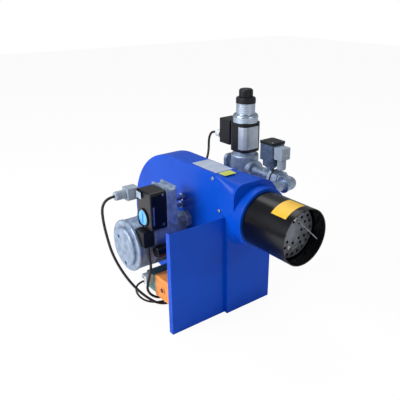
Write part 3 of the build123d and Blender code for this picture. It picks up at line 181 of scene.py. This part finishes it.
# ------------------------------------------------------------------ diffuser and gas head
# Pressed heat-resisting steel, dulled and tinted by the flame in straw and blue patches.
# The gas head screws onto the lance, close behind the diffuser.
flame_steel = mottled("flame_tinted_steel", ("6F737C", "8B8F98"), 14, (0.38, 0.55), 0.9, 0.03,
                      metallic=0.75)
dress(flame_steel, "diffuser", "gas_head")

# ------------------------------------------------------------------ electrodes
# Glazed ceramic tubes with a bare heat-resisting wire in each.
# The glaze is smooth and slightly warm in colour.
glazed_ceramic = mottled("glazed_white_ceramic", ("DCD6CA", "EAE6DC"), 10, (0.15, 0.22), 1.5, 0.01)
dress(glazed_ceramic, "electrode_ceramics")

# ------------------------------------------------------------------ bare steel pieces
# Turned shafts, spun sheet, laminated packs and springs, all uncoated and lightly oiled.
# The surface has fine tool marks, drawn coarser than real so that they show.
bare_steel = mottled("oiled_bare_steel", ("8C9096", "A3A7AC"), 8, (0.30, 0.42), 0.8, 0.015, metallic=1.0)
dress(bare_steel, "electrode_wires", "gas_lance", "damper_flap", "inlet_ring", "motor_bearings", "stator",
      "rotor", "motor_shaft", "valve_plunger", "valve_spring")
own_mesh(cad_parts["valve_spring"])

# ------------------------------------------------------------------ zinc plated steel
# Fasteners, the fan wheel and the damper lever: bright zinc with a faint bluish passivation.
# The plating clouds slightly from patch to patch.
zinc_plate = mottled("blue_passivated_zinc", ("B4BBC4", "CDD1D4"), 6, (0.25, 0.40), 0.6, 0.01,
                     metallic=1.0)
dress(zinc_plate, "casing_screws", "flange_bolts", "fan_wheel", "damper_lever", "air_switch_nipples")

# ------------------------------------------------------------------ die castings
# Motor shields and shell, valve body and switch base: die-cast aluminium, lightly blasted.
# The skin is satin, with a grain of about a millimetre and soft grey clouds.
cast_aluminium = mottled("blasted_die_cast_aluminium", ("7F90A8", "A9B9CF"), 16, (0.42, 0.58), 1.0, 0.05,
                         metallic=0.75)
dress(cast_aluminium, "motor_flange", "motor_housing", "motor_shell", "motor_end_cap", "valve_body",
      "air_switch_base")
dark_casting = mottled("grey_lacquered_casting", ("46566E", "5A6C86"), 12, (0.40, 0.52), 1.0, 0.04,
                       metallic=0.4)
dress(dark_casting, "gas_switch_body")

# ------------------------------------------------------------------ pipe fittings
# Malleable iron nipples, elbow and union, hot-dip galvanised.
# The zinc has a spangle of a few millimetres and stays uneven where it ran.


def spangled(name, hexes, spangle_mm):
    """Hot-dip zinc: cells of slightly different grey and gloss, over an uneven cast skin."""
    material, shader, place = new_finish(name, 0.85)
    cells = add_node(material, "ShaderNodeTexVoronoi", {"Scale": 1000 / spangle_mm}, {"Vector": place})
    tone = add_node(material, "ShaderNodeSeparateColor", {}, {0: cells.outputs["Color"]})
    mix = add_node(material, "ShaderNodeMix", {"data_type": "RGBA"}, {})
    mix.inputs[6].default_value = linear(hexes[0])
    mix.inputs[7].default_value = linear(hexes[1])
    links = material.node_tree.links
    links.new(tone.outputs[0], mix.inputs[0])
    gloss = add_node(material, "ShaderNodeMapRange", {"To Min": 0.32, "To Max": 0.5},
                     {"Value": tone.outputs[1]})
    skin = add_node(material, "ShaderNodeTexNoise", {"Scale": 1000 / 2.5, "Detail": 3.0},
                    {"Vector": place})
    bump = add_node(material, "ShaderNodeBump", {"Strength": 0.6, "Distance": 0.00012},
                    {"Height": skin.outputs["Fac"]})
    links.new(mix.outputs[2], shader.inputs["Base Color"])
    links.new(gloss.outputs["Result"], shader.inputs["Roughness"])
    links.new(bump.outputs["Normal"], shader.inputs["Normal"])
    return material


galvanised_iron = spangled("galvanised_malleable_iron", ("8496B0", "AEBFD6"), 3.5)
dress(galvanised_iron, "outlet_nipple", "elbow", "union_nut", "valve_nipple")

# ------------------------------------------------------------------ turned aluminium
# Core tube and damper housing of the valve: turned bar with fine rings left by the tool.
# The rings are about 0.4 mm apart, drawn at 0.8 mm so that they show.


def turned(name, hexes, ring_mm):
    """Turned metal: fine rings along the vertical axis and a slight drift of tone."""
    material, shader, place = new_finish(name, 1.0)
    rings = add_node(material, "ShaderNodeTexWave", {"bands_direction": "Z", "Scale": 1000 / ring_mm / 20,
                                                     "Distortion": 0.6, "Detail": 2.0}, {"Vector": place})
    ramp = add_node(material, "ShaderNodeValToRGB", {}, {"Fac": rings.outputs["Fac"]})
    ramp.color_ramp.elements[0].color = linear(hexes[0])
    ramp.color_ramp.elements[1].color = linear(hexes[1])
    gloss = add_node(material, "ShaderNodeMapRange", {"To Min": 0.24, "To Max": 0.34},
                     {"Value": rings.outputs["Fac"]})
    bump = add_node(material, "ShaderNodeBump", {"Strength": 0.4, "Distance": 0.00003},
                    {"Height": rings.outputs["Fac"]})
    links = material.node_tree.links
    links.new(ramp.outputs["Color"], shader.inputs["Base Color"])
    links.new(gloss.outputs["Result"], shader.inputs["Roughness"])
    links.new(bump.outputs["Normal"], shader.inputs["Normal"])
    return material


turned_aluminium = turned("turned_aluminium_bar", ("A4B4CA", "C6D4E6"), 0.8)
dress(turned_aluminium, "core_tube", "damper_housing")

# ------------------------------------------------------------------ black mouldings
# Coil, terminal boxes, cap ring, knob, control base and switch lid: glass-filled nylon, matt black.
# The grain is a fine spark-eroded texture of about half a millimetre.
black_nylon = mottled("glass_filled_black_nylon", ("0A0C12", "13161F"), 20, (0.42, 0.55), 0.7, 0.04,
                      extra={"Specular IOR Level": 0.3})
dress(black_nylon, "valve_coil", "coil_terminal_box", "cap_ring", "flow_knob", "motor_terminal_box",
      "control_base", "gas_switch_lid")

gloss_black = mottled("smooth_black_abs", ("080A10", "0F121B"), 30, (0.22, 0.30), 2.0, 0.01,
                      extra={"Specular IOR Level": 0.35})
dress(gloss_black, "air_switch_cover", "motor_capacitor")

# ------------------------------------------------------------------ rubber
# Moulded rubber: the union's seal and the grommets, matt and slightly dusty.
# Nothing holds the grommets but their own groove.
moulded_rubber = mottled("moulded_black_rubber", ("101011", "1D1D1F"), 5, (0.65, 0.80), 0.6, 0.03)
dress(moulded_rubber, "union_seal", "cable_grommets")

# ------------------------------------------------------------------ coloured mouldings
# Plugs and their glands, the connector, the dial, the control box, its button and the transformer.
# Each is self-coloured plastic or resin with a fine grain.
grey_nylon = mottled("light_grey_nylon", ("8794A3", "97A4B2"), 14, (0.42, 0.52), 0.8, 0.03)
dress(grey_nylon, "air_switch_plug", "gas_switch_plug")
white_nylon = mottled("white_nylon", ("CBD2D9", "DDE2E6"), 12, (0.38, 0.48), 0.8, 0.02)
dress(white_nylon, "supply_connector", "coil_gland")
dial_blue = mottled("light_blue_abs", ("56A6F2", "68B4FA"), 10, (0.25, 0.33), 1.2, 0.01)
dress(dial_blue, "air_switch_dial")
orange_abs = mottled("orange_abs", ("E38C44", "ED9850"), 25, (0.38, 0.48), 0.8, 0.03)
dress(orange_abs, "control_box")
reset_red = mottled("dark_red_abs", ("4A1A12", "5A2018"), 6, (0.25, 0.35), 0.8, 0.01)
dress(reset_red, "reset_button")
potting_green = mottled("green_cast_resin", ("3F6F68", "54857C"), 12, (0.35, 0.5), 1.0, 0.03)
dress(potting_green, "ignition_transformer")

# ------------------------------------------------------------------ tube patch
# Plain yellow foil stuck on the blast tube's upper side, where such a burner has its notice.
# It follows the tube, and it is blank.


def lifted_patch(name, node, cuts, keep, height):
    """A skin of the node's surface between cutting planes, raised off it by its thickness.

    Each cut is a point and the direction of what is thrown away, keep tests a face's centre."""
    skin = bpy.data.objects.new(name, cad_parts[node].data.copy())
    skin.data.name = name
    skin.data.materials.clear()
    bpy.context.collection.objects.link(skin)
    bpy.ops.object.select_all(action="DESELECT")
    bpy.context.view_layer.objects.active = skin
    skin.select_set(True)
    bpy.ops.object.mode_set(mode="EDIT")
    bpy.ops.mesh.select_all(action="SELECT")
    bpy.ops.mesh.remove_doubles(threshold=1e-6)
    for point, outward in cuts:
        bpy.ops.mesh.select_all(action="SELECT")
        bpy.ops.mesh.bisect(plane_co=[c / 1000 for c in point], plane_no=outward, clear_outer=True)
    bpy.ops.mesh.select_all(action="DESELECT")
    bpy.ops.mesh.select_mode(type="FACE")
    bpy.ops.object.mode_set(mode="OBJECT")
    for face in skin.data.polygons:
        face.select = not keep(face.center * 1000, face.normal)
    bpy.ops.object.mode_set(mode="EDIT")
    bpy.ops.mesh.delete(type="FACE")
    bpy.ops.mesh.select_all(action="SELECT")
    bpy.ops.transform.shrink_fatten(value=height / 2000)
    bpy.ops.object.mode_set(mode="OBJECT")
    thick = skin.modifiers.new("thickness", "SOLIDIFY")
    thick.thickness = height / 1000
    thick.offset = 0
    bpy.ops.object.modifier_apply(modifier=thick.name)
    bpy.ops.object.shade_smooth_by_angle(angle=math.radians(35))
    return skin


def face_the_light(angle):
    """The unit direction in the XZ plane at an angle in degrees from +X."""
    return Vector((math.cos(math.radians(angle)), 0, math.sin(math.radians(angle))))


yellow_foil = mottled("plain_yellow_foil", ("DFAF2E", "E8BA3A"), 18, (0.35, 0.45), 1.5, 0.01)
tube_skin = 64.5
tube_patch = lifted_patch(
    "tube_patch", "blast_tube",
    (((0, -109, 0), (0, -1, 0)), ((0, -66, 0), (0, 1, 0)),
     ((0, 0, 0), face_the_light(78 - 90)), ((0, 0, 0), face_the_light(132 + 90))),
    lambda centre, normal: Vector((centre.x, 0, centre.z)).length > tube_skin and centre.z > 0, 0.3)
tube_patch.data.materials.append(yellow_foil)
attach(tube_patch, "burner")

# ------------------------------------------------------------------ plates on the casing's top
# Blank anodised plate and a small blank yellow-green sticker in front of it.
# The plate is held by its adhesive back, and its corners are rounded.


def thin_plate(name, low, high, corner):
    """A flat plate between two corners, in millimetres, lying on the lower one's height."""
    size = [(b - a) / 1000 for a, b in zip(low, high)]
    middle = [(a + b) / 2000 for a, b in zip(low, high)]
    bpy.ops.object.select_all(action="DESELECT")
    bpy.ops.mesh.primitive_cube_add(size=1, location=middle)
    plate = bpy.context.object
    plate.name = name
    plate.data.name = name
    plate.scale = size
    bpy.ops.object.transform_apply(location=True, rotation=True, scale=True)
    thin = size.index(min(size))
    bpy.ops.object.mode_set(mode="EDIT")
    bpy.ops.mesh.select_all(action="DESELECT")
    bpy.ops.mesh.select_mode(type="EDGE")
    bpy.ops.object.mode_set(mode="OBJECT")
    for edge in plate.data.edges:
        a, b = (plate.data.vertices[v].co for v in edge.vertices)
        edge.select = abs((a - b)[thin]) > 1e-6
    bpy.ops.object.mode_set(mode="EDIT")
    bpy.ops.mesh.bevel(offset=corner / 1000, segments=5)
    bpy.ops.object.mode_set(mode="OBJECT")
    bpy.ops.object.shade_smooth_by_angle(angle=math.radians(35))
    return plate


casing_low, casing_high = [corner * 1000 for corner in map(Vector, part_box("fan_casing"))]
pale_anodised = mottled("pale_anodised_plate", ("AAB7CF", "BDC9DC"), 25, (0.35, 0.5), 0.8, 0.01,
                        metallic=0.3)
top_plate = thin_plate("top_plate", (-60, 100, casing_high.z), (-10, 194, casing_high.z + 0.5), 3)
top_plate.data.materials.append(pale_anodised)
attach(top_plate, "burner")

lime_foil = mottled("plain_lime_foil", ("B5BE4E", "C4CC5C"), 12, (0.4, 0.5), 1.5, 0.01)
top_sticker = thin_plate("top_sticker", (-56, 72, casing_high.z), (-22, 97, casing_high.z + 0.4), 3)
top_sticker.data.materials.append(lime_foil)
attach(top_sticker, "burner")

# ------------------------------------------------------------------ coil plate
# Blank silvered rating plate wrapped round the coil's front corner.
# It is foil on the black moulding, which shows above and below it, and nothing is written on it.
silver_foil = mottled("silvered_foil", ("A9B6C8", "C3CDDA"), 20, (0.28, 0.4), 1.0, 0.01, metallic=0.55)
coil_bore = 20
coil_plate = lifted_patch(
    "coil_plate", "valve_coil",
    (((0, 207, 0), (0, 1, 0)), ((146, 0, 0), (1, 0, 0)),
     ((0, 0, 98), (0, 0, -1)), ((0, 0, 157), (0, 0, 1))),
    lambda centre, normal: (abs(normal.z) < 0.5
                            and (centre - Vector((128, 216, centre.z))).length > coil_bore),
    0.4)
coil_plate.data.materials.append(silver_foil)
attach(coil_plate, "burner")

# ------------------------------------------------------------------ air switch trim
# Flat steel clip on the cover's front side, two screws that hold the cover, and a pale type plate.
# The plate is blank.
cover_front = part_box("air_switch_cover")[0][1] * 1000
clip = thin_plate("air_switch_clip", (-188.5, cover_front - 0.9, -27), (-184.5, cover_front, 19), 1.2)
clip.data.materials.append(zinc_plate)
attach(clip, "burner")
cover_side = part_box("air_switch_cover")[0][0] * 1000
type_plate = thin_plate("air_switch_plate", (cover_side - 0.4, 208, 31), (cover_side, 229, 47), 1.5)
type_plate.data.materials.append(pale_anodised)
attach(type_plate, "burner")


def slotted_head(name, place, outward, radius, height):
    """A zinc plated screw head with a straight slot, standing on a face; sizes in millimetres."""
    bpy.ops.object.select_all(action="DESELECT")
    bpy.ops.mesh.primitive_cube_add(size=1, location=(0, 0, height / 1000),
                                    scale=(3 * radius / 1000, 0.3 * radius / 1000, height / 1000))
    cutter = bpy.context.object
    bpy.ops.mesh.primitive_cylinder_add(vertices=40, radius=radius / 1000, depth=height / 1000,
                                        location=(0, 0, height / 2000))
    head = bpy.context.object
    head.name = name
    head.data.name = name
    cut = head.modifiers.new("slot", "BOOLEAN")
    cut.object = cutter
    bpy.ops.object.modifier_apply(modifier=cut.name)
    rim = head.modifiers.new("rim", "BEVEL")
    rim.width = 0.12 * radius / 1000
    rim.segments = 3
    bpy.ops.object.modifier_apply(modifier=rim.name)
    bpy.data.objects.remove(cutter)
    head.rotation_euler = Vector(outward).to_track_quat("Z", "Y").to_euler()
    head.location = [c / 1000 for c in place]
    bpy.ops.object.transform_apply(location=True, rotation=True, scale=True)
    bpy.ops.object.shade_smooth_by_angle(angle=math.radians(35))
    head.data.materials.append(zinc_plate)
    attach(head, "burner")


for number, height_z in enumerate((44, -30)):
    slotted_head(f"cover_screw_{number + 1}", (-160, cover_front, height_z), (0, -1, 0), 3.0, 1.4)

# ------------------------------------------------------------------ gas switch trim
# Four screws hold the lid down, and a longer one goes through the middle of the plug.
# They are zinc plated cheese heads.
lid_low, lid_high = [corner * 1000 for corner in map(Vector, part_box("gas_switch_lid"))]
for number, (side, end) in enumerate(((0, 0), (0, 1), (1, 0), (1, 1))):
    corner_x = (lid_low.x + 6, lid_high.x - 6)[side]
    corner_y = (lid_low.y + 6, lid_high.y - 6)[end]
    slotted_head(f"lid_screw_{number + 1}", (corner_x, corner_y, lid_high.z), (0, 0, 1), 2.6, 1.2)
plug_low, plug_high = [corner * 1000 for corner in map(Vector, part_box("gas_switch_plug"))]
slotted_head("plug_screw", ((plug_low.x + plug_high.x) / 2, plug_low.y, 112), (0, -1, 0), 3.0, 1.2)

# ------------------------------------------------------------------ studio
# White floor and surround, a large soft lamp on the motor side, one overhead and a weak front fill.
bpy.ops.object.select_all(action="DESELECT")
bpy.ops.mesh.primitive_plane_add(size=12, location=(0, 0, -0.2522))
floor = bpy.context.object
floor.name = "studio_floor"
paper = bpy.data.materials.new("white_paper")
paper.use_nodes = True
paper_shader = paper.node_tree.nodes["Principled BSDF"]
paper_shader.inputs["Base Color"].default_value = (0.96, 0.96, 0.96, 1)
paper_shader.inputs["Roughness"].default_value = 0.9
light_path = add_node(paper, "ShaderNodeLightPath")
glow = add_node(paper, "ShaderNodeEmission", {"Color": (1, 1, 1, 1), "Strength": 1.0})
weight = add_node(paper, "ShaderNodeMath", {"operation": "MULTIPLY", 1: 0.94},
                  {0: light_path.outputs["Is Camera Ray"]})
blend = add_node(paper, "ShaderNodeMixShader", {},
                 {0: weight.outputs[0], 1: paper_shader.outputs[0], 2: glow.outputs[0]})
paper.node_tree.links.new(blend.outputs[0], paper.node_tree.nodes["Material Output"].inputs["Surface"])
floor.data.materials.append(paper)

world = bpy.data.worlds.new("white_surround")
bpy.context.scene.world = world
world.use_nodes = True
sky = world.node_tree.nodes["Background"]
sky.inputs["Color"].default_value = (1, 1, 1, 1)
seen = world.node_tree.nodes.new("ShaderNodeLightPath")
strength = world.node_tree.nodes.new("ShaderNodeMapRange")
strength.inputs["To Min"].default_value = 0.34
strength.inputs["To Max"].default_value = 1.0
world.node_tree.links.new(seen.outputs["Is Camera Ray"], strength.inputs["Value"])
world.node_tree.links.new(strength.outputs["Result"], sky.inputs["Strength"])


def lamp(name, place, aim, size, power):
    """A square soft lamp that faces a point."""
    bpy.ops.object.light_add(type="AREA", location=place)
    light = bpy.context.object
    light.name = name
    light.data.size = size
    light.data.energy = power
    light.rotation_euler = (Vector(aim) - Vector(place)).to_track_quat("-Z", "Y").to_euler()


lamp("motor_side_lamp", (-2.0, 0.5, 1.1), (-0.1, 0.2, -0.05), 1.2, 56)
lamp("overhead_lamp", (0.5, 0.9, 1.9), (0, 0.15, 0), 1.4, 14)
lamp("front_fill", (0.4, -2.2, 0.9), (0, 0, -0.05), 1.0, 9)
